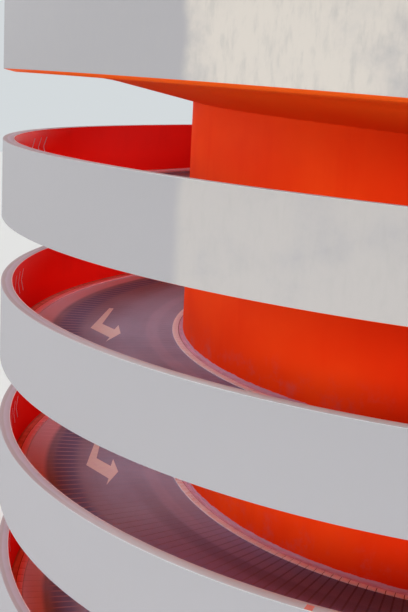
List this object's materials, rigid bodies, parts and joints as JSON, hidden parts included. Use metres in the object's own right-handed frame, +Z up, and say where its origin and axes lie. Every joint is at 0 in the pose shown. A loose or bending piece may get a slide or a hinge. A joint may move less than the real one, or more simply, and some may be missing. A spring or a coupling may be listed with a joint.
{
  "type": "car park spiral ramp",
  "caption": "Helical car park ramp tower: haunched slab winding down a round core, with a solid white outer parapet and a red inside.",
  "frame": {"origin": "on the tower's axis at ground level, the centre of the core's foot", "axes": "+Z up; -Y is the pictured front; each turn of the ramp starts and ends above the +X axis"},
  "size_m": [20.9999, 20.9999, 17.02],
  "materials": {
    "parapet_paint": "smooth masonry paint on plaster, pale grey outside and red inside",
    "core_paint": "orange-red masonry paint on fair-faced concrete",
    "soffit_paint": "orange masonry paint on cast concrete",
    "lane_surface": "grooved purple-grey coloured concrete, worn by tyres",
    "kerb_stone": "low pinkish cast kerb stones with open joints",
    "fill_strip": "rough mortar fill, grimy, drawn up against the core",
    "roof_screed": "pale grey cement screed"
  },
  "bodies": {
    "root": {"ramp_slab_1": "soffit_paint", "ramp_slab_2": "soffit_paint", "ramp_slab_3": "soffit_paint", "ramp_slab_4": "soffit_paint", "ramp_slab_5": "soffit_paint", "lane_surface_1": "lane_surface", "lane_surface_2": "lane_surface", "lane_surface_3": "lane_surface", "lane_surface_4": "lane_surface", "lane_surface_5": "lane_surface", "parapet_1": "parapet_paint", "parapet_2": "parapet_paint", "parapet_3": "parapet_paint", "parapet_4": "parapet_paint", "parapet_5": "parapet_paint", "inner_kerb_1": "kerb_stone", "inner_kerb_2": "kerb_stone", "inner_kerb_3": "kerb_stone", "inner_kerb_4": "kerb_stone", "inner_kerb_5": "kerb_stone", "outer_kerb_1": "kerb_stone", "outer_kerb_2": "kerb_stone", "outer_kerb_3": "kerb_stone", "outer_kerb_4": "kerb_stone", "outer_kerb_5": "kerb_stone", "inner_strip_1": "fill_strip", "inner_strip_2": "fill_strip", "inner_strip_3": "fill_strip", "inner_strip_4": "fill_strip", "inner_strip_5": "fill_strip", "outer_strip_1": "fill_strip", "outer_strip_2": "fill_strip", "outer_strip_3": "fill_strip", "outer_strip_4": "fill_strip", "outer_strip_5": "fill_strip", "core_ring_1": "core_paint", "core_ring_2": "core_paint", "core_ring_3": "core_paint", "core_ring_4": "core_paint", "core_ring_5": "core_paint", "core_ring_6": "core_paint", "core_roof": "roof_screed"}
  },
  "joints": []
}
